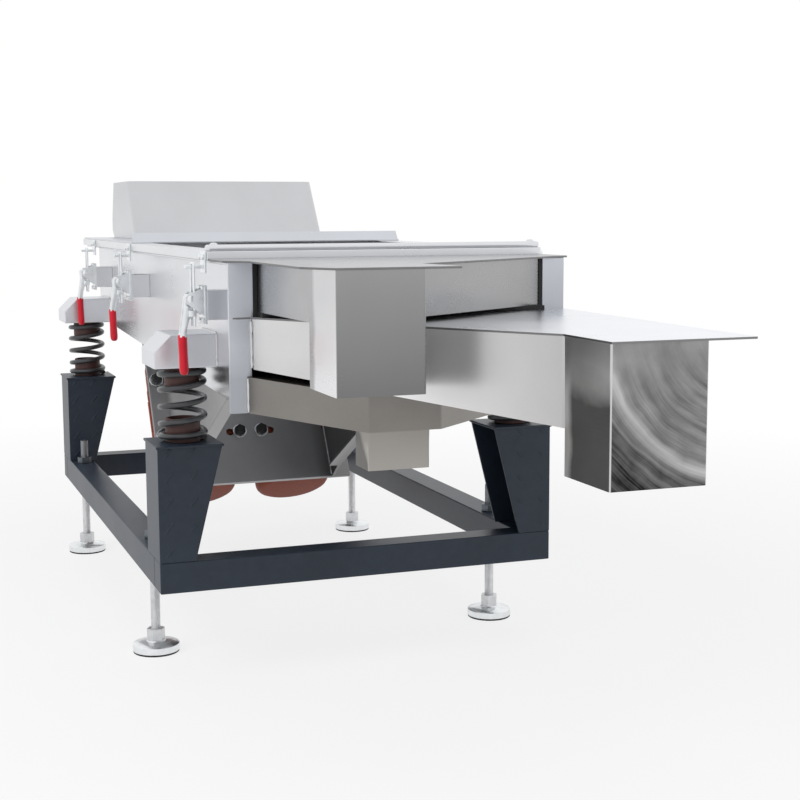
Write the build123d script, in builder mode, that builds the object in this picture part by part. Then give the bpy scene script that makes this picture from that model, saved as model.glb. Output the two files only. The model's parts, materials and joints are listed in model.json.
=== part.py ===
from build123d import *
import os
from math import cos, radians, sin, tan

os.makedirs("parts", exist_ok=True)

# sheet sizes and clearances
sheet = 3.0
wall = 4.0
gap = 0.3
run_fit = 0.05

# base frame of square tube with four tapered pillars
base_w = 680.0
base_l = 1150.0
tube = 50.0
tube_wall = 4.0
beam_z = 150.0
pillar_size = 104.0
pillar_foot = 58.0
pillar_h = 187.0
cap_lap = 2.5

# the deck overhangs the base at both ends, and the part is centred on its whole length
nose = 190.0
mid_reach = 565.0
tail = 45.0
base_y = (nose + mid_reach - tail) / 2
front_y = base_y - base_l / 2
rear_y = base_y + base_l / 2
half_w = base_w / 2
beam_top = beam_z + tube
pillar_top = beam_top + pillar_h

# levelling feet under the side beams
foot_x = half_w - tube / 2 - 2.0
foot_front = front_y + 1.9 * pillar_size
foot_rear = rear_y - 1.34 * pillar_size
pad_r = 40.0
pad_h = 21.0
stud_r = 8.0
stud_top = beam_top + tube
hex_flat = 27.0
nut_h = 13.0

# springs between the pillars and the deck's brackets
spring_h = 122.0
spring_r = 35.0
wire_r = 5.0
spring_turns = 4.5
coil_facets = 10
guide_r = 28.0
guide_low = 38.0
guide_high = 32.0
spring_x = half_w - pillar_size / 2
spring_ys = (front_y + pillar_size / 2, rear_y - pillar_size / 2)

# deck box, hung between the springs
spring_bay = 99.0
deck_half = half_w - spring_bay
deck_front = front_y - nose
deck_back = rear_y + tail - 10.0
lip = 27.0
flange_half = deck_half + lip
bracket_z = pillar_top + spring_h
bracket_h = 53.0
bracket_reach = half_w + 2.0
bracket_cut = bracket_h / 2
deck_rise = 170.0
deck_h = 219.0
deck_top = bracket_z + deck_rise
floor_front = deck_top - deck_h
floor_slope = 2.13

# screens, press frame, cover and hopper
screen_high = deck_top - 67.0
screen_low = floor_front + 72.0
screen_bar = 24.0
screen_h = 20.0
mesh_t = 1.2
press_half = flange_half + 7.0
press_front = deck_front + 100.0
press_back = rear_y + tail
press_w = 46.0
press_h = 14.0
cover_front = base_y - 8.0
cover_top = deck_top + press_h + sheet
strip_h = 17.0
hopper_half = deck_half - 33.0
hopper_h = 124.0
hopper_top = cover_top + hopper_h
hopper_back = press_back - 8.0
hopper_mouth = 199.0
hopper_lean = 88.0
hopper_bend = 26.0

# outlets, left and right as seen from the discharge end
seal_t = 7.0
seal_half = deck_half - 10.0
upper_half = seal_half - seal_t
upper_floor = deck_top - 72.0
upper_size = 120.0
upper_left = 27.0 - deck_half
upper_right = upper_left + upper_size
upper_neck = deck_front - 223.0
upper_front = upper_neck - upper_size + 4.0
upper_mouth = upper_floor - 87.0
mid_top = upper_floor - seal_t
mid_floor = mid_top - 76.0
mid_fall = 0.0948
mid_half = deck_half - 7.0
mid_size = 132.0
mid_right = deck_half - 59.0
mid_left = mid_right - mid_size
mid_tip = deck_front - mid_reach
mid_front = mid_tip + 5.0
mid_neck = mid_front + mid_size - 12.0
mid_mouth = mid_floor - 102.0
low_size = 89.0
low_left = 115.0 - deck_half
low_right = low_left + low_size
low_neck = deck_front - 147.0
low_front = low_neck - 56.0
low_mouth = floor_front - 60.0
low_gap = 11.0
low_nose = 2.0
low_wing = 18.0

# motors side by side on a sloping plate under the deck
tilt = 31.5
motor_r = 78.0
motor_half = 85.0
motor_up = 180.0
cover_r = motor_r + 4.0
cover_len = 72.0
motor_x = cover_r + 22.4
foot_t = 14.0
motor_off = motor_r + foot_t + 6.0
bore_r = motor_r - 10.0
core_r = bore_r - 7.0
weight_r = bore_r - 2.0
shaft_r = 15.0
box_w = 70.0
box_l = 90.0
box_h = 40.0
bolt_dx = motor_r + 3.0
bolt_dz = 64.0
bolt_r = 6.5
bolt_fit = 0.25
bolt_flat = 22.0
foot_half = bolt_dx + 18.0
spare_in = 20.0
spare_r = 7.5

# exciter mount: two side plates in front of the plate, just inside the outer bolts
plate_t = 10.0
plate_half = motor_x + foot_half
plate_drop = 267.7
plate_low = (base_y + 112.1, floor_front - plate_drop)
mount_half = motor_x + bolt_dx - 17.4
mount_t = 6.0
mount_front = front_y + 158.0
mount_lip = 25.0
mount_knee = (plate_low[0] - 41.7, plate_low[1] + 30.0)

# pull latches on the long sides
clamp_ys = {"front": deck_front + 120.0, "mid": base_y + 5.0, "rear": rear_y - pillar_size - 25.0}
stand_x = press_half + 1.0
stand_w = 40.0
stand_h = 44.0
stand_z = deck_top - 89.0
latch_x = stand_x + 24.0
latch_z = deck_top - 57.0
link_drop = 22.0
link_in = 1.0
rod_r = 2.5
rod_dy = 8.0
bar_z = deck_top - 4.0
cheek_t = 2.5
lever_y = rod_dy + rod_r + 0.6
cheek_y = lever_y + cheek_t + gap
pin_r = 3.5
grip_r = 7.0
grip_len = 62.0
grip_z = latch_z - 119.0
round_sides = 16
small_sides = 8


def floor_z(y):
    return floor_front + tan(radians(floor_slope)) * (y - deck_front)


def mid_z(y):
    return mid_floor + mid_fall * (y - deck_front)


def block(x0, x1, y0, y1, z0, z1, mode=Mode.ADD):
    with Locations(((x0 + x1) / 2, (y0 + y1) / 2, (z0 + z1) / 2)):
        Box(abs(x1 - x0), abs(y1 - y0), abs(z1 - z0), mode=mode)


def plate_yz(x0, x1, outline, mode=Mode.ADD):
    with BuildSketch(Plane(origin=(min(x0, x1), 0, 0), x_dir=(0, 1, 0), z_dir=(1, 0, 0))) as face:
        Polygon(*outline, align=None)
    extrude(face.sketch, amount=abs(x1 - x0), mode=mode)


def plate_xz(y0, y1, outline, mode=Mode.ADD):
    with BuildSketch(Plane(origin=(0, max(y0, y1), 0), x_dir=(1, 0, 0), z_dir=(0, -1, 0))) as face:
        Polygon(*outline, align=None)
    extrude(face.sketch, amount=abs(y1 - y0), mode=mode)


def plate_xy(z0, z1, outline, mode=Mode.ADD):
    with BuildSketch(Plane.XY.offset(z0)) as face:
        Polygon(*outline, align=None)
    extrude(face.sketch, amount=z1 - z0, mode=mode)


def rod(start, end, radius, sides=0, mode=Mode.ADD):
    # a round bar, or one of flats: inside the circle when added, and around it when cut
    a = Vector(*start)
    b = Vector(*end)
    with BuildSketch(Plane(origin=a, z_dir=b - a)) as face:
        if sides:
            RegularPolygon(radius, sides, major_radius=mode == Mode.ADD)
        else:
            Circle(radius)
    extrude(face.sketch, amount=(b - a).length, mode=mode)


def hexagon(start, end, flat, mode=Mode.ADD):
    a = Vector(*start)
    b = Vector(*end)
    with BuildSketch(Plane(origin=a, x_dir=(1, 0, 0), z_dir=b - a)) as face:
        RegularPolygon(flat / 2, 6, major_radius=False)
    extrude(face.sketch, amount=(b - a).length, mode=mode)


def inset(outline, steps):
    # moves each edge of an anticlockwise outline inward by its own step
    moved = []
    for i, step in enumerate(steps):
        a = Vector(*outline[i])
        b = Vector(*outline[(i + 1) % len(outline)])
        along = (b - a).normalized()
        moved.append((a + Vector(-along.Y, along.X) * step, along))
    corners = []
    for i, (point, along) in enumerate(moved):
        other, before = moved[i - 1]
        cross = before.X * along.Y - before.Y * along.X
        away = point - other
        reach = (away.X * along.Y - away.Y * along.X) / cross
        corner = other + before * reach
        corners.append((corner.X, corner.Y))
    return corners


def save(builder, name):
    builder.part.label = name
    export_step(builder.part, f"parts/{name}.step")


# side beams carry the feet, so their walls are drilled for the studs
with BuildPart() as side_beams:
    for x in (-half_w, half_w - tube):
        block(x, x + tube, front_y + tube, rear_y - tube, beam_z, beam_top)
        block(x + tube_wall, x + tube - tube_wall, front_y, rear_y, beam_z + tube_wall, beam_top - tube_wall,
              mode=Mode.SUBTRACT)
    for x in (-foot_x, foot_x):
        for y in (foot_front, foot_rear):
            rod((x, y, beam_z - 1), (x, y, beam_top + 1), stud_r + 1, small_sides, mode=Mode.SUBTRACT)
save(side_beams, "side_beams")

with BuildPart() as cross_beams:
    for y in (front_y, rear_y - tube):
        block(-half_w, half_w, y, y + tube, beam_z, beam_top)
        block(tube_wall - half_w, half_w - tube_wall, y + tube_wall, y + tube - tube_wall,
              beam_z + tube_wall, beam_top - tube_wall, mode=Mode.SUBTRACT)
        for x in (tube / 2 - half_w, half_w - tube / 2):
            open_half = tube / 2 - tube_wall
            block(x - open_half, x + open_half, max(y, front_y + tube_wall), min(y + tube, rear_y - tube_wall),
                  beam_z + tube_wall, beam_top - tube_wall, mode=Mode.SUBTRACT)
save(cross_beams, "cross_beams")


def pillar(side, y0):
    outer = side * half_w
    inner = side * (half_w - pillar_size)
    low = side * (half_w - pillar_foot)
    top = pillar_top - wall
    web = [(outer, beam_top), (low, beam_top), (inner, top), (outer, top)]
    plate_xz(y0, y0 + wall, web)
    plate_xz(y0 + pillar_size - wall, y0 + pillar_size, web)
    block(outer, outer - side * wall, y0, y0 + pillar_size, beam_top, top)
    block(outer + side * cap_lap, inner - side * cap_lap, y0 - cap_lap, y0 + pillar_size + cap_lap,
          top, pillar_top)


for side, word in ((-1, "left"), (1, "right")):
    with BuildPart() as pillars:
        pillar(side, front_y)
        pillar(side, rear_y - pillar_size)
    save(pillars, f"pillars_{word}")

with BuildPart() as lower_guides:
    for x in (-spring_x, spring_x):
        for y in spring_ys:
            top = (x, y, pillar_top + guide_low)
            rod((x, y, pillar_top), top, guide_r, round_sides)
            rod((x, y, pillar_top), top, guide_r - wall, small_sides, mode=Mode.SUBTRACT)
save(lower_guides, "lower_guides")

with BuildPart() as foot_nuts:
    for x in (-foot_x, foot_x):
        for y in (foot_front, foot_rear):
            hexagon((x, y, beam_top), (x, y, beam_top + nut_h), hex_flat)
            rod((x, y, beam_top), (x, y, beam_top + nut_h), stud_r + run_fit, small_sides, mode=Mode.SUBTRACT)
save(foot_nuts, "foot_nuts")

for side, x in (("left", -foot_x), ("right", foot_x)):
    for end, y in (("front", foot_front), ("rear", foot_rear)):
        with BuildPart() as foot_pad:
            rod((x, y, 0), (x, y, pad_h * 0.5), pad_r, round_sides)
            with BuildSketch(Plane.XY.offset(pad_h * 0.5)) as rim:
                with Locations((x, y)):
                    RegularPolygon(pad_r, round_sides)
            extrude(rim.sketch, amount=pad_h * 0.5, taper=58)
        save(foot_pad, f"foot_pad_{end}_{side}")
        with BuildPart() as foot_stud:
            hexagon((x, y, pad_h), (x, y, pad_h + 20), hex_flat)
            rod((x, y, pad_h + 20), (x, y, stud_top), stud_r)
        save(foot_stud, f"foot_stud_{end}_{side}")

with BuildPart() as springs:
    coil_h = spring_h - 2 * wire_r
    for x in (-spring_x, spring_x):
        for y in spring_ys:
            steps = int(spring_turns * coil_facets)
            points = []
            for k in range(steps + 1):
                angle = radians(360 * k / coil_facets)
                rise = pillar_top + wire_r + coil_h * k / steps
                points.append((x + spring_r * cos(angle), y + spring_r * sin(angle), rise))
            with BuildLine() as coil:
                Polyline(*points)
            path = coil.wires()[0]
            with BuildSketch(Plane(path @ 0, z_dir=path % 0)) as section:
                RegularPolygon(wire_r, 6)
            sweep(section.sketch, path=path, transition=Transition.RIGHT)
save(springs, "springs")

# deck walls with an outward lip along the top
inner_half = deck_half - wall
face_back = deck_front + wall
for side, word in ((-1, "left"), (1, "right")):
    with BuildPart() as side_wall:
        plate_yz(side * deck_half, side * inner_half,
                 [(face_back, floor_z(face_back)), (deck_back, floor_z(deck_back)), (deck_back, deck_top),
                  (face_back, deck_top)])
        block(side * deck_half, side * flange_half, face_back, deck_back, deck_top - wall, deck_top)
    save(side_wall, f"side_wall_{word}")

with BuildPart() as rear_wall:
    block(-inner_half, inner_half, deck_back - wall, deck_back, floor_z(deck_back) + sheet, deck_top)
save(rear_wall, "rear_wall")

with BuildPart() as pan:
    plate_yz(-inner_half, inner_half,
             [(face_back, floor_z(face_back)), (deck_back, floor_z(deck_back)),
              (deck_back, floor_z(deck_back) + sheet), (face_back, floor_z(face_back) + sheet)])
save(pan, "pan")

with BuildPart() as front_flanges:
    for side in (-1, 1):
        steps = [(flange_half, floor_z(deck_front)), (flange_half, deck_top), (seal_half, deck_top),
                 (seal_half, mid_top), (mid_half, mid_top), (mid_half, mid_floor - low_gap),
                 (deck_half, mid_floor - low_gap), (deck_half, floor_z(deck_front))]
        plate_xz(deck_front, face_back, [(side * px, pz) for px, pz in steps])
save(front_flanges, "front_flanges")

for side, word in ((-1, "left"), (1, "right")):
    with BuildPart() as brackets:
        high = bracket_z + bracket_h
        arm = [(deck_half, bracket_z), (bracket_reach, bracket_z), (bracket_reach, high - bracket_cut),
               (bracket_reach - bracket_cut, high), (deck_half, high)]
        hollow = [(deck_half, bracket_z + wall), (bracket_reach - wall, bracket_z + wall),
                  (bracket_reach - wall, high - bracket_cut - wall * 0.4),
                  (bracket_reach - bracket_cut - wall * 0.4, high - wall), (deck_half, high - wall)]
        for y in (front_y, rear_y - pillar_size):
            plate_xz(y, y + pillar_size, [(side * px, pz) for px, pz in arm])
            plate_xz(y + wall, y + pillar_size - wall, [(side * px, pz) for px, pz in hollow],
                     mode=Mode.SUBTRACT)
    save(brackets, f"brackets_{word}")

with BuildPart() as upper_guides:
    for x in (-spring_x, spring_x):
        for y in spring_ys:
            low = (x, y, bracket_z - guide_high)
            rod(low, (x, y, bracket_z), guide_r, round_sides)
            rod(low, (x, y, bracket_z), guide_r - wall, small_sides, mode=Mode.SUBTRACT)
save(upper_guides, "upper_guides")

screen_front = deck_front + 28
screen_back = deck_back - wall
for name, z in (("upper", screen_high), ("lower", screen_low)):
    with BuildPart() as screen_frame:
        block(-inner_half, inner_half, screen_front, screen_back, z, z + screen_h)
        block(screen_bar - inner_half, inner_half - screen_bar, screen_front + screen_bar,
              screen_back - screen_bar, z, z + screen_h, mode=Mode.SUBTRACT)
        for k in (1, 2, 3):
            y = screen_front + (screen_back - screen_front) * k / 4
            block(screen_bar - inner_half, inner_half - screen_bar, y - 8, y + 8, z, z + screen_h)
    save(screen_frame, f"{name}_screen_frame")
    with BuildPart() as screen_mesh:
        block(5 - inner_half, inner_half - 5, screen_front, screen_back, z + screen_h, z + screen_h + mesh_t)
    save(screen_mesh, f"{name}_screen_mesh")

# upper outlet, its black seal and lid
upper_back = deck_front + 25
with BuildPart() as upper_chute:
    plan = [(-upper_half, upper_back), (-upper_half, deck_front), (upper_left, upper_neck),
            (upper_left, upper_front), (upper_right, upper_front), (upper_right, upper_neck),
            (upper_half, deck_front), (upper_half, upper_back)]
    plate_xy(upper_floor, deck_top, plan)
    spout = [(upper_left, upper_neck), (upper_left, upper_front), (upper_right, upper_front),
             (upper_right, upper_neck)]
    plate_xy(upper_mouth, deck_top, spout)
    plate_xy(upper_floor + sheet, deck_top, inset(plan, [sheet] * 7 + [0]), mode=Mode.SUBTRACT)
    plate_xy(upper_mouth, upper_floor + sheet, inset(spout, [sheet] * 4), mode=Mode.SUBTRACT)
save(upper_chute, "upper_chute")

with BuildPart() as chute_seal:
    for side in (-1, 1):
        block(side * upper_half, side * seal_half, deck_front, deck_front + 20, mid_top, deck_top)
    block(-upper_half, upper_half, deck_front - 24, deck_front + 20, mid_top, upper_floor)
save(chute_seal, "chute_seal")

with BuildPart() as upper_lid:
    lid_back = press_front - 3
    plate_xy(deck_top, deck_top + sheet,
             [(-press_half, lid_back), (-press_half, deck_front + 3), (-deck_half - 3, deck_front - 35),
              (-deck_half - 3, upper_neck - 62), (upper_left - 2, upper_front - 6), (upper_right, upper_front - 6),
              (upper_right + 46, upper_front - 8), (upper_right + 36, upper_neck - 8),
              (upper_half + 14, deck_front - 14), (press_half, deck_front + 3), (press_half, lid_back)])
save(upper_lid, "upper_lid")

# middle outlet falls to the right, under a flat lid
mid_cover = mid_top - sheet
with BuildPart() as mid_chute:
    plan = [(-mid_half, deck_front), (mid_left, mid_neck), (mid_left, mid_front), (mid_right, mid_front),
            (mid_right, mid_neck), (mid_half, deck_front)]
    spout = [(mid_left, mid_neck), (mid_left, mid_front), (mid_right, mid_front), (mid_right, mid_neck)]
    plate_yz(-mid_half, mid_half, [(deck_front, mid_z(deck_front)), (deck_front, mid_cover),
                                   (mid_front, mid_cover), (mid_front, mid_z(mid_front))])
    plate_xy(mid_mouth, mid_cover, plan, mode=Mode.INTERSECT)
    plate_xy(mid_mouth, mid_cover, spout)
    with BuildPart(mode=Mode.PRIVATE) as hollow:
        plate_yz(-mid_half, mid_half,
                 [(deck_front, mid_z(deck_front) + sheet), (deck_front, mid_cover),
                  (mid_front, mid_cover), (mid_front, mid_z(mid_front) + sheet)])
        plate_xy(mid_mouth, mid_cover, inset(plan, [sheet] * 5 + [0]), mode=Mode.INTERSECT)
        plate_xy(mid_mouth, mid_cover, inset(spout, [sheet] * 4))
    add(hollow.part, mode=Mode.SUBTRACT)
save(mid_chute, "mid_chute")

with BuildPart() as mid_lid:
    plate_xy(mid_cover, mid_top,
             [(-flange_half + 6, deck_front), (-mid_half - 1, deck_front - 1), (mid_left - 2, mid_neck - 1),
              (mid_left - 2, mid_tip), (mid_right + 63, mid_tip),
              (flange_half, deck_front)])
save(mid_lid, "mid_lid")

# lower outlet carries on the pan's slope
with BuildPart() as lower_chute:
    plan = [(-deck_half, deck_front), (low_left, low_front), (low_right + low_wing, low_front),
            (deck_half, deck_front)]
    mouth = [(low_left, low_neck), (low_left, low_front), (low_right, low_front), (low_right, low_neck)]
    skin = [(deck_front, floor_z(deck_front)), (deck_front, mid_z(deck_front) - low_gap),
            (low_front, mid_z(low_front) - low_nose), (low_front, floor_z(low_front))]
    core = [(deck_front, floor_z(deck_front) + sheet), (deck_front, mid_z(deck_front) - low_gap - sheet),
            (low_front, mid_z(low_front) - low_nose - sheet), (low_front, floor_z(low_front) + sheet)]
    plate_yz(-deck_half, deck_half, skin)
    plate_xy(low_mouth, mid_floor, plan, mode=Mode.INTERSECT)
    plate_xy(low_mouth, floor_z(low_neck) + sheet, mouth)
    with BuildPart(mode=Mode.PRIVATE) as hollow:
        plate_yz(-deck_half, deck_half, core)
        plate_xy(low_mouth, mid_floor, inset(plan, [sheet] * 3 + [0]), mode=Mode.INTERSECT)
        plate_xy(low_mouth, floor_z(low_neck) + sheet + 1, inset(mouth, [sheet] * 4))
    add(hollow.part, mode=Mode.SUBTRACT)
save(lower_chute, "lower_chute")

# press frame, an open-bottomed channel lying on the deck's lips
with BuildPart() as press_frame:
    block(-press_half, press_half, press_front, press_back, deck_top, deck_top + press_h)
    block(sheet - press_half, press_half - sheet, press_front + sheet, press_back - sheet, deck_top,
          deck_top + press_h - sheet, mode=Mode.SUBTRACT)
    inside = press_w - sheet
    block(inside - press_half, press_half - inside, press_front + inside, press_back - inside, deck_top,
          deck_top + press_h)
    block(press_w - press_half, press_half - press_w, press_front + press_w, press_back - press_w, deck_top,
          deck_top + press_h, mode=Mode.SUBTRACT)
save(press_frame, "press_frame")

hopper_edge = hopper_back - 0.24 * hopper_h
hopper_front = hopper_edge - hopper_mouth
hopper_side = [(hopper_back - 22, cover_top), (hopper_back, cover_top + 0.13 * hopper_h),
               (hopper_back, cover_top + 0.34 * hopper_h), (hopper_edge, hopper_top),
               (hopper_front, hopper_top), (hopper_front - hopper_lean, cover_top)]
with BuildPart() as feed_cover:
    block(sheet - press_half, press_half - sheet, cover_front, press_back, cover_top - sheet, cover_top)
    plate_yz(5 - press_half, press_half - 5,
             [(cover_front, cover_top), (cover_front + sheet, cover_top), (cover_front + strip_h, cover_top + strip_h),
              (cover_front + strip_h - sheet, cover_top + strip_h)])
    block(8 - hopper_half, hopper_half - 8, hopper_front - hopper_lean + 8, hopper_edge, cover_top - sheet,
          cover_top, mode=Mode.SUBTRACT)
save(feed_cover, "feed_cover")

with BuildPart() as hopper:
    plate_yz(-hopper_half, hopper_half, hopper_side)
    front_bends = hopper.faces().sort_by(Axis.Y)[0].edges().filter_by(Axis.X, reverse=True)
    fillet(front_bends, hopper_bend)
    with BuildPart(mode=Mode.PRIVATE) as hollow:
        plate_yz(sheet - hopper_half, hopper_half - sheet, inset(hopper_side, [sheet, sheet, sheet, 0, sheet, 0]))
        inner_bends = hollow.faces().sort_by(Axis.Y)[0].edges().filter_by(Axis.X, reverse=True)
        fillet(inner_bends, hopper_bend - sheet)
    add(hollow.part, mode=Mode.SUBTRACT)
save(hopper, "hopper")

# exciter mount: side plates with a turned-in front lip
up = Vector(0, sin(radians(tilt)), cos(radians(tilt)))
back = Vector(0, cos(radians(tilt)), -sin(radians(tilt)))


def on_plate(rise, depth):
    point = Vector(0, *plate_low) + up * rise + back * depth
    return (point.Y, point.Z)


def under_pan(depth):
    y, z = on_plate(0, depth)
    rise = (floor_z(y) - z) / (up.Z - tan(radians(floor_slope)) * up.Y)
    return on_plate(rise, depth)


toe = (mount_front, floor_z(mount_front))
slant = (Vector(*mount_knee) - Vector(*toe)).normalized()
turn = Vector(-slant.Y, slant.X) * mount_t


with BuildPart() as mount_sides:
    tip = Vector(*toe) + slant * 14
    end = Vector(*mount_knee)
    lip_face = [(p.X, p.Y) for p in (tip, end, end + turn, tip + turn)]
    inner = mount_half - mount_t
    for side in (-1, 1):
        plate_yz(side * mount_half, side * inner, [toe, mount_knee, on_plate(0, 0), under_pan(0)])
        plate_yz(side * inner, side * (mount_half - mount_lip), lip_face)
save(mount_sides, "mount_sides")

motor_planes = {}
for side, word in ((-1, "left"), (1, "right")):
    centre = Vector(side * motor_x, *plate_low) + up * motor_up + back * (plate_t + motor_off)
    motor_planes[word] = Plane(origin=centre, x_dir=(1, 0, 0), z_dir=up)


def each_bolt(plane):
    return [(plane.origin + Vector(dx, 0, 0) + up * dz) for dx in (-bolt_dx, bolt_dx) for dz in (-bolt_dz, bolt_dz)]


foot_face = motor_off
with BuildPart() as motor_plate:
    plate_yz(-plate_half, plate_half, [on_plate(0, 0), on_plate(0, plate_t), under_pan(plate_t), under_pan(0)])
    for plane in motor_planes.values():
        for spot in each_bolt(plane):
            spare = spot + Vector(spare_in if spot.X < plane.origin.X else -spare_in, 0, 0)
            for hole, radius in ((spot, bolt_r + bolt_fit), (spare, spare_r)):
                rod(hole - back * (foot_face - 1), hole - back * (foot_face + plate_t + 1), radius, small_sides,
                    mode=Mode.SUBTRACT)
save(motor_plate, "motor_plate")

for word, plane in motor_planes.items():
    with BuildPart() as motor_case:
        with BuildSketch(plane.offset(-motor_half)) as face:
            RegularPolygon(motor_r, round_sides)
            with Locations((0, foot_t / 2 - foot_face)):
                Rectangle(2 * foot_half, foot_t)
            with Locations((0, (foot_t - foot_face) / 2)):
                Rectangle(1.1 * motor_r, foot_face - foot_t)
        extrude(face.sketch, amount=2 * motor_half)
        with BuildSketch(plane.offset(10 - box_l / 2)) as face:
            with Locations((0, motor_r + 8)):
                Rectangle(box_w, box_h)
        extrude(face.sketch, amount=box_l)
        with BuildSketch(plane.offset(10 - motor_half)) as face:
            RegularPolygon(bore_r, round_sides)
        extrude(face.sketch, amount=2 * motor_half - 20, mode=Mode.SUBTRACT)
        rod(plane.origin - up * motor_half, plane.origin + up * motor_half, shaft_r + run_fit, round_sides,
            mode=Mode.SUBTRACT)
        for spot in each_bolt(plane):
            rod(spot - back * (foot_face + 1), spot - back * (foot_face - foot_t - 1), bolt_r + bolt_fit,
                small_sides, mode=Mode.SUBTRACT)
    save(motor_case, f"motor_case_{word}")
    with BuildPart() as rotor:
        tail_end = up * (motor_half + 52)
        rod(plane.origin - tail_end, plane.origin + tail_end, shaft_r, round_sides)
        with BuildSketch(plane.offset(20 - motor_half)) as face:
            RegularPolygon(core_r, round_sides)
        extrude(face.sketch, amount=2 * motor_half - 40)
        for z in (-motor_half - 46, motor_half + 8):
            with BuildSketch(plane.offset(z)) as face:
                RegularPolygon(weight_r, round_sides)
                with Locations((0, -weight_r)):
                    Rectangle(2 * weight_r, 2 * weight_r, mode=Mode.SUBTRACT)
                RegularPolygon(shaft_r + 8, small_sides)
            extrude(face.sketch, amount=38)
    save(rotor, f"rotor_{word}")

with BuildPart() as motor_covers:
    for plane in motor_planes.values():
        for turn_end in (-1, 1):
            end = plane.origin + up * turn_end * motor_half
            with BuildPart(mode=Mode.PRIVATE) as cup:
                outward = up * turn_end
                rod(end, end + outward * (cover_len - 12), cover_r, round_sides)
                with BuildSketch(Plane(end + outward * (cover_len - 12), z_dir=outward)) as rim:
                    RegularPolygon(cover_r, round_sides)
                extrude(rim.sketch, amount=12, taper=45)
                rod(end, end + outward * (cover_len - wall), cover_r - wall - 9, round_sides, mode=Mode.SUBTRACT)
            add(cup.part)
save(motor_covers, "motor_covers")

with BuildPart() as motor_bolts:
    for plane in motor_planes.values():
        for spot in each_bolt(plane):
            front = spot - back * (foot_face + plate_t)
            behind = spot - back * (foot_face - foot_t)
            hexagon(front - back * 9, front, bolt_flat)
            rod(front, behind, bolt_r, small_sides)
            hexagon(behind, behind + back * 11, bolt_flat)
save(motor_bolts, "motor_bolts")

# pull latches: stand-off, base with cheeks, hook on the press frame, lever with grip, and pull bow
with BuildPart() as clamp_standoffs:
    for side in (-1, 1):
        for y in clamp_ys.values():
            block(side * deck_half, side * stand_x, y - stand_w / 2, y + stand_w / 2, stand_z, stand_z + stand_h)
            block(side * deck_half, side * stand_x, y - stand_w / 2 + sheet, y + stand_w / 2 - sheet,
                  stand_z + sheet, stand_z + stand_h - sheet, mode=Mode.SUBTRACT)
save(clamp_standoffs, "clamp_standoffs")

with BuildPart() as clamp_bases:
    for side in (-1, 1):
        for y in clamp_ys.values():
            block(side * stand_x, side * (stand_x + sheet), y - stand_w / 2, y + stand_w / 2, stand_z - 6,
                  stand_z + stand_h + 8)
            for cheek in (-1, 1):
                plate_xz(y + cheek * cheek_y, y + cheek * (cheek_y + cheek_t),
                         [(side * px, pz) for px, pz in
                          ((stand_x + sheet, latch_z - 26), (stand_x + sheet, latch_z + 16),
                           (latch_x, latch_z + 9), (latch_x + 8, latch_z + 3), (latch_x + 8, latch_z - 6))])
            rod((side * latch_x, y - 2 * cheek_y, latch_z), (side * latch_x, y + 2 * cheek_y, latch_z),
                pin_r + run_fit, small_sides, mode=Mode.SUBTRACT)
save(clamp_bases, "clamp_bases")

ledge_z = bar_z - rod_r - gap
with BuildPart() as latch_hooks:
    for side in (-1, 1):
        for y in clamp_ys.values():
            block(side * press_half, side * (press_half + sheet), y - 16, y + 16, ledge_z - 12,
                  deck_top + press_h)
            block(side * (press_half + sheet), side * (latch_x + 5), y - 4.5, y + 4.5, ledge_z - 5, ledge_z)
save(latch_hooks, "latch_hooks")

for side, hand in ((-1, "left"), (1, "right")):
    for place, y in clamp_ys.items():
        link_x = side * (latch_x - link_in)
        link_z = latch_z - link_drop
        with BuildPart() as handle:
            for cheek in (-1, 1):
                plate_xz(y + cheek * lever_y, y + cheek * (lever_y + cheek_t),
                         [(side * px, pz) for px, pz in
                          ((latch_x - 7, latch_z + 6), (latch_x + 5, latch_z + 7), (latch_x + 9, latch_z),
                           (latch_x + 8, link_z - 4), (latch_x + 8, grip_z + grip_len - 2),
                           (latch_x - 2, grip_z + grip_len - 2), (latch_x - 12, link_z - 8),
                           (latch_x - 10, link_z + 8))])
                rod((link_x, y + cheek * lever_y, link_z), (link_x, y + cheek * (lever_y + cheek_t), link_z),
                    pin_r + run_fit, small_sides, mode=Mode.SUBTRACT)
                rod((side * latch_x, y + cheek * lever_y, latch_z),
                    (side * latch_x, y + cheek * (cheek_y + cheek_t + 2), latch_z), pin_r, small_sides)
            block(side * (latch_x - 2), side * (latch_x + 8), y - lever_y, y + lever_y,
                  grip_z + grip_len - 2, grip_z + grip_len + 4)
            grip_top = (side * (latch_x + 3), y, grip_z + grip_len)
            rod(grip_top, (side * (latch_x + 3), y, grip_z + 3), grip_r, small_sides)
            with BuildSketch(Plane(origin=(side * (latch_x + 3), y, grip_z + 3), z_dir=(0, 0, -1))) as tip:
                RegularPolygon(grip_r, small_sides)
            extrude(tip.sketch, amount=3, taper=45)
        save(handle, f"handle_{place}_{hand}")
        with BuildPart() as pull_bow:
            for cheek in (-1, 1):
                rod((link_x, y + cheek * rod_dy, link_z), (link_x, y + cheek * rod_dy, bar_z), rod_r, 8)
            rod((link_x, y - rod_dy - rod_r, bar_z), (link_x, y + rod_dy + rod_r, bar_z), rod_r, 8)
            reach = lever_y + cheek_t
            rod((link_x, y - lever_y + gap, link_z), (link_x, y + lever_y - gap, link_z), pin_r + 2, 8)
            rod((link_x, y - reach, link_z), (link_x, y + reach, link_z), pin_r, small_sides)
        save(pull_bow, f"pull_bow_{place}_{hand}")
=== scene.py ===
import bmesh
import bpy
import json
import math
from mathutils import Matrix, Vector


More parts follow.
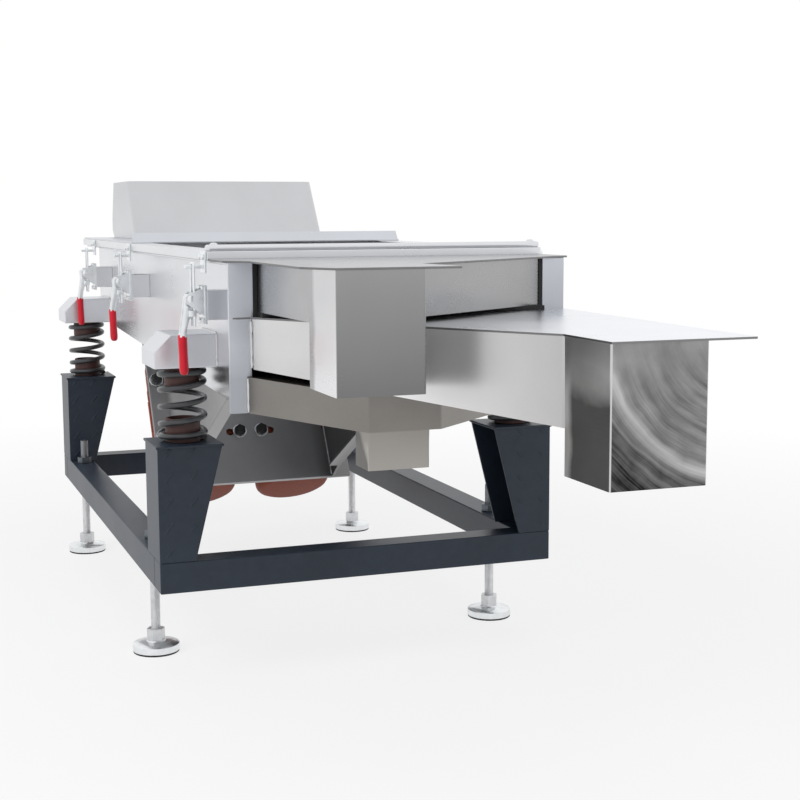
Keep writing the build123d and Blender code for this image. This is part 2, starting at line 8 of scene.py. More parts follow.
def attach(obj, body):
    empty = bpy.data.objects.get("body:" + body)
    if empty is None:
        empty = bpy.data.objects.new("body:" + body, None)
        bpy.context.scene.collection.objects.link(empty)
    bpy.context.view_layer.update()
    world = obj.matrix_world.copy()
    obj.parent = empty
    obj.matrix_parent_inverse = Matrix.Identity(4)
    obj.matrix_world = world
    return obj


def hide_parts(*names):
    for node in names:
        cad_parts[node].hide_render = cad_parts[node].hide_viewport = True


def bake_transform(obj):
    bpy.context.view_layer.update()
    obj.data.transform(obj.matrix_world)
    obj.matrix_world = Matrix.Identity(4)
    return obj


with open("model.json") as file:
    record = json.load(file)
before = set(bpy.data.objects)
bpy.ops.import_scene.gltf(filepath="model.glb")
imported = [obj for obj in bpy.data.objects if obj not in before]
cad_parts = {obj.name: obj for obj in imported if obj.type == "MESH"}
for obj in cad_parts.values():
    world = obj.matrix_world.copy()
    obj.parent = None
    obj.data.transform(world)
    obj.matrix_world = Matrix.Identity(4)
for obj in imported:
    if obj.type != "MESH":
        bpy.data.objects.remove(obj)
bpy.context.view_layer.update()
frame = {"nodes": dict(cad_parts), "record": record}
nodes = frame["nodes"]
bodyOf = {n: b for b, members in frame["record"]["behaviour"]["bodies"].items() for n in members}
baseY = 0.355                                   # middle of the base, in the part's frame
bothSides = ((-1, "left"), (1, "right"))
quarter = math.pi / 2
print("frame loaded,", len(nodes), "nodes")


class Val:                                      # one socket, used in plain sums
    def __init__(self, owner, socket):
        self.owner, self.socket = owner, socket

    def calc(self, operation, a, b=0.0):
        return self.owner.node("ShaderNodeMath", {"operation": operation}, {0: a, 1: b})

    def __add__(self, other):
        return self.calc("ADD", self, other)

    def __radd__(self, other):
        return self.calc("ADD", other, self)

    def __sub__(self, other):
        return self.calc("SUBTRACT", self, other)

    def __rsub__(self, other):
        return self.calc("SUBTRACT", other, self)

    def __mul__(self, other):
        return self.calc("MULTIPLY", self, other)

    def __rmul__(self, other):
        return self.calc("MULTIPLY", other, self)

    def __pow__(self, other):
        return self.calc("POWER", self, other)

    def __rpow__(self, other):
        return self.calc("POWER", other, self)

    def __gt__(self, other):
        return self.calc("GREATER_THAN", self, other)

    def __lt__(self, other):
        return self.calc("LESS_THAN", self, other)

    def wave(self):
        return self.calc("SINE", self)

    def size(self):
        return self.calc("ABSOLUTE", self)

    def saw(self, width):
        return self.calc("PINGPONG", self, width)

    def most(self, other):
        return self.calc("MAXIMUM", self, other)


class Nodes:
    def __init__(self, tree):
        self.tree = tree

    def node(self, kind, settings=None, inputs=None, out=0):
        made = self.tree.nodes.new(kind)
        for key, value in (settings or {}).items():
            setattr(made, key, value)
        for key, value in (inputs or {}).items():
            if isinstance(value, Val):
                self.tree.links.new(value.socket, made.inputs[key])
            else:
                made.inputs[key].default_value = value
        return Val(self, made.outputs[out])

    def ray(self, kind):
        return self.node("ShaderNodeLightPath", out=f"Is {kind} Ray")

    def surface(self, output, value):
        self.tree.links.new(value.socket, self.tree.nodes[output].inputs["Surface"])


class Finish(Nodes):
    def __init__(self, name, fixed):
        self.mat = bpy.data.materials.new(name)
        self.mat.use_nodes = True
        super().__init__(self.mat.node_tree)
        self.shader = self.tree.nodes["Principled BSDF"]
        for key, value in fixed.items():
            self.shader.inputs[key].default_value = value
        self.place = self.node("ShaderNodeTexCoord", out="Object")

    def noiseAt(self, spot, scale, detail, rough):
        return self.node("ShaderNodeTexNoise", {}, {
            "Vector": spot, "Scale": scale, "Detail": detail, "Roughness": rough})

    def noise(self, scale, detail, stretch=(1, 1, 1)):
        spot = self.node("ShaderNodeMapping", {}, {"Vector": self.place, "Scale": stretch})
        return self.noiseAt(spot, scale, detail, 0.55)

    def span(self, value, low, high, start=0.0, end=1.0):
        return self.node("ShaderNodeMapRange", {"clamp": True}, {0: value, 1: low, 2: high, 3: start, 4: end})

    def tint(self, amount, first, second):
        return self.node("ShaderNodeMix", {"data_type": "RGBA"}, {0: amount, 6: first, 7: second}, out=2)

    def axis(self, which):
        return self.node("ShaderNodeSeparateXYZ", {}, {0: self.place}, out=which)

    def feed(self, socket, value):
        self.tree.links.new(value.socket, self.shader.inputs[socket])

    def bump(self, height, strength, depth):
        made = self.node("ShaderNodeBump", {}, {"Height": height, "Strength": strength, "Distance": depth})
        self.feed("Normal", made)


def sheetSteel(name, tone, spread, rough, zones=(), warm=0.0, brush=(40, 1.2, 40)):
    f = Finish(name, {"Metallic": 1.0})
    cloud = f.noise(3.2, 3.0)
    patch = f.noise(9.0, 4.0, (1, 0.6, 1))
    lines = f.noise(9.0, 2.0, brush)
    drift = cloud * 0.55 + patch * 0.35 + lines * 0.1 - 0.5
    value = drift * (4.0 * spread) + tone
    for zone in zones:                          # one face, or one end of a face, with its own tone of painted light, shade or reflection
        along = f.axis(zone["axis"])
        mask = f.span(along, zone["at"], zone["at"] + zone.get("soft", 0.0004) * zone["side"])
        if "also" in zone:                      # second edge of the zone: axis, place, side
            across, edge, way = zone["also"]
            mask = mask * f.span(f.axis(across) + patch * 0.03, edge, edge + 0.012 * way)
        if "swirl" in zone:
            inside = polishArcsWithPaintedReflection(f, zone["swirl"])
        else:                                   # tones: start and end along the fade axis, tone at each
            inside = f.span(f.axis(zone.get("fade", 2)) + patch * zone.get("ragged", 0.0), *zone["tones"])
            inside = inside + drift * (4.0 * zone.get("spread", spread))
        value = value * (1 - mask) + inside * mask
    darkest, palest = 0.015, 0.95
    value = f.span(value, darkest, palest, darkest, palest)
    f.feed("Base Color", f.tint(value, (0, 0, 0, 1), (1.0 + warm, 1.0, 1.012 - 1.6 * warm, 1)))
    f.feed("Roughness", f.span(cloud * 0.85 + lines * 0.15, 0.35, 0.65, rough, rough + 0.12))
    f.bump(cloud, 0.10, 0.004)
    return f.mat


def polishArcsWithPaintedReflection(f, spec):                        # curved streaks left by a polishing disc, on a dark painted reflection tone, with a painted highlight ring, painted shade outside the ring and painted light towards the top
    x, z = f.axis(0) - spec["x"], f.axis(2) - spec["z"]
    reach = (x * x + z * z) ** 0.5 + f.noise(14.0, 2.0) * 0.012
    turn = x.calc("ARCTAN2", z, x)
    rings = f.node("ShaderNodeCombineXYZ", {}, {0: reach * 95.0, 1: turn * 1.3, 2: 0.0})
    broad = f.noiseAt(rings, 1.0, 2.0, 0.5)
    fineRings = f.node("ShaderNodeCombineXYZ", {}, {0: reach * 520.0, 1: turn * 2.2, 2: 3.0})
    fine = f.noiseAt(fineRings, 1.0, 3.0, 0.6)
    # painted highlight: a bright ring along the polish arcs
    highlightRing = f.span((reach - spec["highlightRing"]).size(), 0.002, 0.013, 0.20, 0.0)
    # painted shade outside the bright ring
    shadeOutsideRing = f.span(reach, spec["highlightRing"] + 0.010, spec["highlightRing"] + 0.030, 0.0, 0.15)
    # painted light: lighter, with fainter streaks, towards the top
    roof = f.span(f.axis(2), *spec["roof"])
    streaks = (broad - 0.5) * 0.40 + (fine - 0.5) * 0.18
    blots = (f.noise(28.0, 3.0) - 0.5) * 0.20
    return streaks * (1.1 - roof * 0.85) + highlightRing - shadeOutsideRing + blots + spec["tone"] + roof * 0.05


def paint(name, first, second, rough, coat=0.0, shine=0.5):
    f = Finish(name, {"Coat Weight": coat, "Coat Roughness": 0.25, "Specular IOR Level": shine})
    broad = f.noise(5.0, 4.0)
    fine = f.noise(60.0, 2.0)
    f.feed("Base Color", f.tint(f.span(broad * 0.75 + fine * 0.25, 0.35, 0.65), first, second))
    f.feed("Roughness", broad * 0.14 + rough)
    f.bump(f.noise(190.0, 2.0) * 0.6 + fine * 0.4, 0.12, 0.0006)
    return f.mat


def plated(name, first, second, rough, thread=None):
    f = Finish(name, {"Metallic": 1.0})
    spangle = f.node("ShaderNodeTexVoronoi", {}, {"Vector": f.place, "Scale": 90.0})
    broad = f.noise(14.0, 3.0)
    colour = f.tint(f.span(broad * 0.7 + spangle * 0.3, 0.25, 0.7), first, second)
    f.feed("Roughness", f.noise(40.0, 3.0) * 0.18 + rough)
    if thread:                                  # screw thread, dull where it stands out of the beam
        z = f.axis(2)
        dull = f.span(z, *thread["beamTop"], 0.0, 0.72)
        colour = f.tint(dull, colour, thread["dull"])
        groove = (z * thread["turns"]).saw(1.0) * (z > thread["from"])
        f.bump(groove, 0.45, 0.0010)
    else:
        f.bump(f.noise(120.0, 2.0), 0.06, 0.0008)
    f.feed("Base Color", colour)
    return f.mat


def vinyl(name, first, second):
    f = Finish(name, {"Coat Weight": 0.1, "Coat Roughness": 0.3, "Specular IOR Level": 0.35})
    broad = f.noise(30.0, 3.0)
    f.feed("Base Color", f.tint(f.span(broad, 0.35, 0.65), first, second))
    f.feed("Roughness", broad * 0.15 + 0.3)
    f.bump(f.noise(400.0, 2.0), 0.1, 0.0004)
    return f.mat


def wovenWire(name, pitch):
    f = Finish(name, {"Metallic": 1.0})
    over = (f.axis(0) * (math.pi / pitch)).wave().size()
    across = (f.axis(1) * (math.pi / pitch)).wave().size()
    gap = f.span(over * across, 0.25, 0.75)
    f.feed("Base Color", f.tint(gap, (0.66, 0.67, 0.68, 1), (0.05, 0.05, 0.055, 1)))
    f.feed("Roughness", gap * 0.3 + 0.3)
    f.bump(1 - gap, 0.7, 0.001)
    return f.mat


# The deck, lid, cover, flange, hopper, spout and mount sheets are one stainless steel; their different base
# tones are painted light and shade, and their zones paint light, shade and reflection face by face.
steel = sheetSteel("deck_sheet", 0.75, 0.05, 0.24, warm=-0.012)
# painted light: the lid sheet lower than 0.62 is painted much brighter than the higher lid
lidSteel = sheetSteel("lid_sheet", 0.37, 0.06, 0.24, warm=-0.018, zones=[
    {"axis": 2, "at": 0.62, "side": -1, "tones": (0.59, 0.60, 0.88, 0.88)}])
coverSteel = sheetSteel("cover_sheet", 0.65, 0.04, 0.26, warm=-0.03)
# painted shade: darker towards the bottom and on the right flange
flangeSteel = sheetSteel("flange_sheet", 0.74, 0.04, 0.30, warm=-0.04, zones=[
    {"axis": 2, "at": 0.56, "side": -1, "soft": 0.05, "tones": (0.46, 0.56, 0.44, 0.50)},
    {"axis": 0, "at": 0.20, "side": 1, "tones": (0.60, 0.68, 0.46, 0.58)}])
bracketSteel = sheetSteel("bracket_sheet", 0.75, 0.05, 0.32, warm=-0.02, brush=(12, 12, 12))
# painted light and shade: the hopper's left face goes from lighter low down to darker higher up
hopperSteel = sheetSteel("hopper_sheet", 0.60, 0.05, 0.26, warm=-0.01, zones=[
    {"axis": 0, "at": -0.2074, "side": -1, "tones": (0.70, 0.80, 0.64, 0.58)}])
# painted light, shade and reflection: the right wall and the front face are painted darker, the front face
# darkest low down, and the left face is painted bright
upperSteel = sheetSteel("upper_spout_sheet", 0.44, 0.09, 0.22, zones=[
    {"axis": 0, "at": -0.0936, "side": 1, "tones": (0.60, 0.68, 0.33, 0.38), "spread": 0.07},
    {"axis": 1, "at": -0.7484, "side": -1, "tones": (0.50, 0.675, 0.18, 0.32), "spread": 0.022},
    {"axis": 0, "at": -0.2134, "side": -1, "tones": (0.56, 0.675, 0.84, 0.66), "spread": 0.10,
     "ragged": 0.06, "also": (1, -0.6330, -1)}])
# painted light, shade and reflection: the left-hand faces are painted dark low down as painted shadow and
# brighter higher up, the faces behind the front are painted lighter towards the left, and the front face gets
# the polish arcs on a dark painted reflection tone
midSteel = sheetSteel("mid_spout_sheet", 0.64, 0.05, 0.27, warm=0.008, zones=[
    {"axis": 0, "at": 0.0506, "side": -1, "soft": 0.0003, "tones": (0.550, 0.595, 0.08, 0.68),
     "ragged": 0.06},
    {"axis": 0, "at": 0.0506, "side": -1, "soft": 0.0003, "tones": (0.42, 0.60, 0.44, 0.60),
     "also": (1, -0.858, 1)},
    {"axis": 1, "at": -0.8480, "side": 1, "soft": 0.001, "tones": (-0.10, 0.05, 0.95, 0.53),
     "fade": 0, "spread": 0.07},
    {"axis": 0, "at": -0.14, "side": -1, "soft": 0.02, "tones": (0.47, 0.55, 0.60, 0.70),
     "spread": 0.09, "also": (1, -0.8480, 1)},
    {"axis": 1, "at": -0.9694, "side": -1,
     "swirl": {"x": 0.235, "z": 0.630, "highlightRing": 0.205, "roof": (0.535, 0.575), "tone": 0.23}}])
# painted shade: the lower chute is painted dark, with its spout and the left face of its hood in their own
# painted tones; its warm tint is a painted brownish reflection
lowSteel = sheetSteel("lower_spout_sheet", 0.24, 0.06, 0.28, warm=0.05, zones=[
    {"axis": 2, "at": 0.4535, "side": -1, "soft": 0.002, "tones": (0.40, 0.455, 0.36, 0.31), "spread": 0.03},
    {"axis": 0, "at": -0.1254, "side": -1, "tones": (0.40, 0.455, 0.46, 0.40), "also": (2, 0.4535, -1)}])
# painted shade: darker than the deck sheet, and darker still towards the right end
mountShadeSteel = sheetSteel("mount_sheet", 0.36, 0.07, 0.34, zones=[
    {"axis": 0, "at": 0.13, "side": 1, "soft": 0.03, "tones": (0.20, 0.40, 0.20, 0.28), "spread": 0.06}])
edgeSteel = sheetSteel("cut_edge", 0.22, 0.05, 0.34)
weldSteel = sheetSteel("weld_bead", 0.66, 0.06, 0.26, brush=(60, 60, 60))
framePaint = paint("frame_paint", (0.014, 0.0225, 0.037, 1), (0.026, 0.038, 0.057, 1), 0.34, 0.05, 0.36)
motorPaint = paint("motor_paint", (0.27, 0.058, 0.030, 1), (0.36, 0.085, 0.046, 1), 0.46, shine=0.2)
guidePaint = paint("guide_primer", (0.05, 0.022, 0.02, 1), (0.10, 0.045, 0.038, 1), 0.5)
springPaint = paint("spring_wire", (0.022, 0.023, 0.026, 1), (0.05, 0.052, 0.056, 1), 0.26, coat=0.3)
boltBlack = paint("bolt_black", (0.012, 0.012, 0.013, 1), (0.03, 0.03, 0.032, 1), 0.38)
sealRubber = paint("seal_rubber", (0.006, 0.006, 0.007, 1), (0.016, 0.016, 0.017, 1), 0.6)
dullZinc = plated("zinc_dull", (0.11, 0.125, 0.14, 1), (0.19, 0.21, 0.235, 1), 0.34)
zinc = plated("zinc_plate", (0.76, 0.78, 0.79, 1), (0.90, 0.92, 0.94, 1), 0.22)
threadZinc = plated("zinc_thread", (0.60, 0.61, 0.62, 1), (0.78, 0.79, 0.81, 1), 0.34, {
    "from": 0.042, "turns": 1000.0, "beamTop": (0.196, 0.204), "dull": (0.10, 0.115, 0.13, 1)})
gripRed = vinyl("grip_red", (0.60, 0.004, 0.018, 1), (0.70, 0.008, 0.028, 1))
screenWire = wovenWire("screen_wire", 0.006)
print("finishes made")


def at(x, y, z):
    return Matrix.Translation((x, y, z))


def turned(angle, axis):
    return Matrix.Rotation(angle, 4, axis)


def finishPiece(name, bm, body, finishes, stands=(), angle=35):
    bmesh.ops.recalc_face_normals(bm, faces=bm.faces)
    mesh = bpy.data.meshes.new(name)
    bm.to_mesh(mesh)
    bm.free()
    for mat in finishes:
        mesh.materials.append(mat)
    mesh.shade_smooth()
    mesh.set_sharp_from_angle(angle=math.radians(angle))
    piece = bpy.data.objects.new(name, mesh)
    bpy.context.collection.objects.link(piece)
    if body:
        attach(piece, body)
    if stands:
        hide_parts(*stands)
    return piece


def only(kind, geom):
    return [g for g in geom if isinstance(g, kind)]


def edgesOf(verts):
    return list(dict.fromkeys(e for v in verts for e in v.link_edges))


def rounded(bm, edges, width, steps, clamp=False):
    bmesh.ops.bevel(bm, geom=edges, offset=width, affect="EDGES", segments=steps, profile=0.5, material=-1,
                    clamp_overlap=clamp)


def known(bm):                                  # what the mesh holds before a shape is added
    return set(bm.verts), set(bm.faces)


def fresh(bm, old):
    return [v for v in bm.verts if v not in old[0]]


def place(bm, old, matrix, look=0):
    bmesh.ops.transform(bm, matrix=matrix, verts=fresh(bm, old))
    for face in bm.faces:
        if face not in old[1]:
            face.material_index = look


def brick(bm, size, matrix, bevel, steps=2):
    old = known(bm)
    verts = bmesh.ops.create_cube(bm, size=1.0)["verts"]
    bmesh.ops.scale(bm, vec=size, verts=verts)
    rounded(bm, edgesOf(verts), bevel, steps)
    place(bm, old, matrix)


def lathe(bm, outline, matrix, steps, look=0):
    old = known(bm)
    line = [bm.verts.new((r, 0, z)) for r, z in outline]
    edges = [bm.edges.new(pair) for pair in zip(line, line[1:])]
    bmesh.ops.spin(bm, geom=line + edges, cent=(0, 0, 0), axis=(0, 0, 1), dvec=(0, 0, 0), angle=2 * math.pi,
                   steps=steps, use_merge=True, use_duplicate=False)
    bmesh.ops.remove_doubles(bm, verts=fresh(bm, old), dist=1e-6)
    place(bm, old, matrix, look)


def hexHead(bm, flat, height, matrix):
    old = known(bm)
    corner = flat / 1.732
    verts = bmesh.ops.create_cone(bm, cap_ends=True, segments=6, radius1=corner, radius2=corner,
                                  depth=height)["verts"]
    rounded(bm, edgesOf(verts), flat * 0.05, 2)
    place(bm, old, matrix)


def platePiece(bm, outline, thick, matrix, bevel):
    old = known(bm)
    face = bm.faces.new([bm.verts.new((a, b, 0)) for a, b in outline])
    push = bmesh.ops.extrude_face_region(bm, geom=[face])["geom"]
    bmesh.ops.translate(bm, vec=(0, 0, thick), verts=only(bmesh.types.BMVert, push))
    rounded(bm, edgesOf(fresh(bm, old)), bevel, 2)
    place(bm, old, matrix)


def bead(bm, start, end, radius, step=0.006):
    start, end = Vector(start), Vector(end)
    along = end - start
    count = max(int(along.length / step), 2)
    turn = along.to_track_quat("Z", "Y").to_matrix().to_4x4()
    ring = bmesh.ops.create_circle(bm, cap_ends=True, segments=7, radius=radius * 0.6)["verts"]
    bmesh.ops.transform(bm, matrix=Matrix.Translation(start) @ turn, verts=ring)
    face = ring[0].link_faces[0]
    for k in range(1, count + 1):               # ripples of the weld pool, every other ring smaller
        push = bmesh.ops.extrude_face_region(bm, geom=[face])["geom"]
        face = only(bmesh.types.BMFace, push)[0]
        verts = list(face.verts)
        bmesh.ops.translate(bm, vec=along / count, verts=verts)
        middle = face.calc_center_median()
        ripple = radius * (1.0 + 0.12 * math.sin(k * 1.9)) * (1.0 if k % 2 else 0.72)
        grow = ripple / (verts[0].co - middle).length
        bmesh.ops.scale(bm, vec=(grow, grow, grow), space=Matrix.Translation(-middle), verts=verts)


sheetEdges = {       # node: finish, slot, edge rounding, rounding steps, bend radius of upright corners
    "side_wall_left": (steel, "stainless", 0.0012, 2, 0),
    "side_wall_right": (steel, "stainless", 0.0012, 2, 0),
    "rear_wall": (steel, "stainless", 0.0010, 2, 0),
    "pan": (steel, "stainless", 0.0008, 2, 0),
    "front_flanges": (flangeSteel, "stainless", 0.0010, 2, 0),
    "brackets_left": (bracketSteel, "stainless", 0.0022, 3, 0),
    "brackets_right": (bracketSteel, "stainless", 0.0022, 3, 0),
    "upper_chute": (upperSteel, "stainless", 0.0008, 2, 0.0022),
    "upper_lid": (lidSteel, "stainless", 0.0008, 2, 0),
    "mid_chute": (midSteel, "stainless", 0.0008, 2, 0.0035),
    "mid_lid": (lidSteel, "stainless", 0.0008, 2, 0),
    "lower_chute": (lowSteel, "stainless", 0.0008, 2, 0.0022),
    "press_frame": (steel, "stainless", 0.0012, 3, 0),
    "feed_cover": (coverSteel, "stainless", 0.0003, 1, 0),
    "hopper": (hopperSteel, "stainless", 0.0008, 2, 0),
    "mount_sides": (mountShadeSteel, "stainless", 0.0014, 2, 0),
    "motor_plate": (mountShadeSteel, "stainless", 0.0014, 2, 0),
    "clamp_standoffs": (steel, "stainless", 0.0010, 2, 0),
    "clamp_bases": (zinc, "zinc", 0.0006, 2, 0),
    "latch_hooks": (zinc, "zinc", 0.0008, 2, 0),
    "side_beams": (framePaint, "frame_paint", 0.0035, 3, 0),
    "cross_beams": (framePaint, "frame_paint", 0.0035, 3, 0),
    "pillars_left": (framePaint, "frame_paint", 0.0014, 2, 0),
    "pillars_right": (framePaint, "frame_paint", 0.0014, 2, 0),
    "chute_seal": (sealRubber, "seal", 0.0010, 2, 0),
    "foot_nuts": (dullZinc, "zinc", 0.0012, 2, 0)}
cutEdges = ("upper_lid", "mid_lid")             # flat lids with a bare cut edge
sharpAngle = math.radians(28)


def folded(edge):                               # an outer upright corner is folded, not cut
    if len(edge.link_faces) != 2 or edge.calc_length() <= 0.05:
        return False
    way = (edge.verts[1].co - edge.verts[0].co).normalized()
    small = min(face.calc_area() for face in edge.link_faces)
    return abs(way.z) > 0.95 and edge.calc_face_angle_signed() > sharpAngle and small > 0.0008


def softEdges(node, finish, slot, width, steps, bend):
    bm = bmesh.new()
    bm.from_mesh(nodes[node].data)
    bmesh.ops.remove_doubles(bm, verts=bm.verts, dist=1e-5)
    bmesh.ops.dissolve_limit(bm, angle_limit=math.radians(1), verts=bm.verts, edges=bm.edges)
    bmesh.ops.recalc_face_normals(bm, faces=bm.faces)
    if bend:
        rounded(bm, [e for e in bm.edges if folded(e)], bend, 4)
    sharp = [e for e in bm.edges if len(e.link_faces) == 2 and e.calc_face_angle() > sharpAngle]
    rounded(bm, sharp, width, steps, True)
    bmesh.ops.triangulate(bm, faces=[f for f in bm.faces if len(f.verts) > 4])
    looks = [finish]
    if node in cutEdges:
        looks.append(edgeSteel)
        bm.normal_update()
        for face in bm.faces:
            face.material_index = int(abs(face.normal.z) < 0.5)
    piece = finishPiece(node + "_dressed", bm, bodyOf[node], looks, [node], 60)
    weigh = piece.modifiers.new("flat_faces", "WEIGHTED_NORMAL")
    weigh.keep_sharp = True
    weigh.weight = 100


for node, spec in sheetEdges.items():
    softEdges(node, *spec)
print("sheet edges softened")


coil = {"x": 0.288, "ys": (baseY - 0.523, baseY + 0.523), "low": 0.387, "high": 0.509, "radius": 0.0348,
        "wire": 0.0049, "open": 3.4, "closed": 0.95, "segments": 40, "sides": 12}
coilSpots = [(x, y) for x in (-coil["x"], coil["x"]) for y in coil["ys"]]


def coilSpring(bm, x, y, spec):
    wire, closed = spec["wire"], spec["closed"]
    ring = bmesh.ops.create_circle(bm, cap_ends=False, segments=spec["sides"], radius=wire)["verts"]
    stand = at(x + spec["radius"], y, spec["low"] + wire) @ turned(quarter, "X")
    bmesh.ops.transform(bm, matrix=stand, verts=ring)
    first = edgesOf(ring)
    geom = ring + first
    flatRise = 2.05 * wire * closed             # end turns lie close to each other
    openRise = spec["high"] - spec["low"] - 2 * wire - 2 * flatRise
    for turns, rise in ((closed, flatRise), (spec["open"], openRise), (closed, flatRise)):
        steps = int(turns * spec["segments"])
        geom = bmesh.ops.spin(bm, geom=geom, cent=(x, y, 0), axis=(0, 0, 1), dvec=(0, 0, rise / steps),
                              angle=turns * 2 * math.pi, steps=steps, use_merge=False,
                              use_duplicate=False)["geom_last"]
    for edges in (first, only(bmesh.types.BMEdge, geom)):
        bmesh.ops.edgeloop_fill(bm, edges=edges)


bm = bmesh.new()
for x, y in coilSpots:
    coilSpring(bm, x, y, coil)
springPiece = finishPiece("coil_springs", bm, None, [springPaint], ["springs"], 70)
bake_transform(springPiece)

guide = {"radius": 0.0278, "wall": 0.004, "chamfer": 0.001, "low": (0.387, 0.425), "high": (0.477, 0.509)}
for name, (zLow, zHigh), body in (("lower", guide["low"], "base"), ("upper", guide["high"], "deck")):
    bm = bmesh.new()
    r, c = guide["radius"], guide["chamfer"]
    inner = r - guide["wall"]
    outline = [(inner, zLow), (r - c, zLow), (r, zLow + c), (r, zHigh - c), (r - c, zHigh), (inner, zHigh),
               (inner, zLow)]
    for x, y in coilSpots:
        lathe(bm, outline, at(x, y, 0), 40)
    finishPiece(name + "_guide_tubes", bm, body, [guidePaint], [name + "_guides"])
print("springs and guides wound")


foot = {"x": 0.313, "front": baseY - 0.3774, "rear": baseY + 0.43564, "radius": 0.040, "height": 0.021,
        "rubber": 0.0030, "seam": 0.0031, "lip": 0.0006}
for side, hand in bothSides:
    for end in ("front", "rear"):
        r, h, lip, seam = (foot[k] for k in ("radius", "height", "lip", "seam"))
        bm = bmesh.new()
        rubber = [(0, 0), (r - 0.0015, 0), (r - lip, 0.0008), (r - lip, foot["rubber"]), (0, foot["rubber"])]
        cup = [(0, seam), (r - lip, seam), (r, seam + 0.0007), (r, h * 0.68), (r - 0.0010, h * 0.73),
               (r * 0.62, h * 0.84), (r * 0.42, h * 0.93), (r * 0.40, h), (0, h)]
        spot = at(side * foot["x"], foot[end], 0)
        lathe(bm, cup, spot, 48)
        lathe(bm, rubber, spot, 48, 1)
        finishPiece(f"pad_{end}_{hand}", bm, f"foot_{end}_{hand}", [zinc, sealRubber],
                    [f"foot_pad_{end}_{hand}"], 40)
print("foot pads turned")


tilt = math.radians(31.5)                       # slope of the motor plate
slopeUp = Vector((0, math.sin(tilt), math.cos(tilt)))
slopeBack = Vector((0, math.cos(tilt), -math.sin(tilt)))
plateLow = Vector((0, baseY + 0.1121, 0.1923))
motor = {"x": 0.1044, "up": 0.180, "plate": 0.010, "radius": 0.0775, "half": 0.085, "bore": 0.0152,
         "coverRadius": 0.0815, "coverLength": 0.072, "ribs": 28, "rib": (0.0070, 0.004), "ribGap": 0.030,
         "foot": 0.098, "footThick": 0.014, "footHalf": 0.099, "footWide": 0.034,
         "web": (0.194, 0.012, 0.112), "boltAcross": 0.081, "boltAlong": 0.064,
         # size, place, rounding and its steps of the saddle, the terminal box and the lid of the box
         "blocks": (((0.086, 0.050, 0.160), (0, -0.062, 0), 0.003, 2),
                    ((0.070, 0.034, 0.086), (0, 0.082, 0.01), 0.004, 3),
                    ((0.074, 0.009, 0.092), (0, 0.1013, 0.01), 0.003, 3)),
         "lidScrewX": 0.031, "lidScrewY": 0.1054, "lidScrewZ": (-0.031, 0.051),
         "lidScrew": [(0, 0.002), (0.0035, 0.0018), (0.0042, 0), (0, 0)],
         "glandAt": (0, 0.086, -0.031),
         "gland": [(0.0, 0.020), (0.007, 0.020), (0.009, 0.017), (0.009, 0.010), (0.012, 0.010), (0.012, 0.0),
                   (0, 0)]}


def motorFrame(side):
    spot = plateLow + slopeUp * motor["up"] + slopeBack * (motor["foot"] + motor["plate"])
    turn = Matrix((Vector((1, 0, 0)), slopeBack, slopeUp)).transposed().to_4x4()
    return at(side * motor["x"], spot.y, spot.z) @ turn


coverMesh = bmesh.new()
for side, hand in bothSides:
    stand = motorFrame(side)
    r, h, rim, bore = motor["radius"], motor["half"], motor["coverRadius"], motor["bore"]
    bm = bmesh.new()
    top = [(bore, h), (rim - 0.002, h), (rim, h - 0.002), (rim, h - 0.010), (r, h - 0.014)]
    lathe(bm, [(a, -b) for a, b in top] + top[::-1], stand, 56)
    for k in range(motor["ribs"]):              # cooling ribs, none over the foot or the terminal box
        a = 2 * math.pi * k / motor["ribs"]
        if abs(math.sin(a) + 1) < 0.32 or abs(math.sin(a) - 1) < 0.16:
            continue
        brick(bm, (*motor["rib"], 2 * h - motor["ribGap"]), stand @ turned(a, "Z") @ at(r + 0.0015, 0, 0),
              0.0008, 1)
    low = -motor["foot"] + motor["footThick"] / 2
    footSize = (2 * motor["footHalf"], motor["footThick"], motor["footWide"])
    for z in (-motor["boltAlong"], motor["boltAlong"]):
        brick(bm, footSize, stand @ at(0, low, z), 0.003, 3)
    brick(bm, motor["web"], stand @ at(0, low - 0.001, 0), 0.002)
    for size, spot, bevel, steps in motor["blocks"]:
        brick(bm, size, stand @ at(*spot), bevel, steps)
    for x in (-motor["lidScrewX"], motor["lidScrewX"]):
        for z in motor["lidScrewZ"]:
            lathe(bm, motor["lidScrew"], stand @ at(x, motor["lidScrewY"], z) @ turned(-quarter, "X"), 12, 1)
    lathe(bm, motor["gland"], stand @ at(*motor["glandAt"]) @ turned(math.pi, "X"), 20, 1)
    finishPiece(f"motor_body_{hand}", bm, "deck", [motorPaint, boltBlack],
                [f"motor_case_{hand}"], 40)
    n = motor["coverLength"]                    # bell covers over the weights
    bell = [(rim, 0), (rim, 0.006), (rim - 0.0015, 0.0075), (rim - 0.0015, n - 0.016),
            (rim - 0.003, n - 0.009), (rim - 0.007, n - 0.004), (rim - 0.013, n - 0.001), (rim - 0.020, n),
            (0, n)]
    for end, flip in ((-1, turned(math.pi, "X")), (1, Matrix.Identity(4))):
        lathe(coverMesh, bell, stand @ at(0, 0, end * h) @ flip, 56)
finishPiece("motor_bells", coverMesh, "deck", [motorPaint], ["motor_covers"], 40)

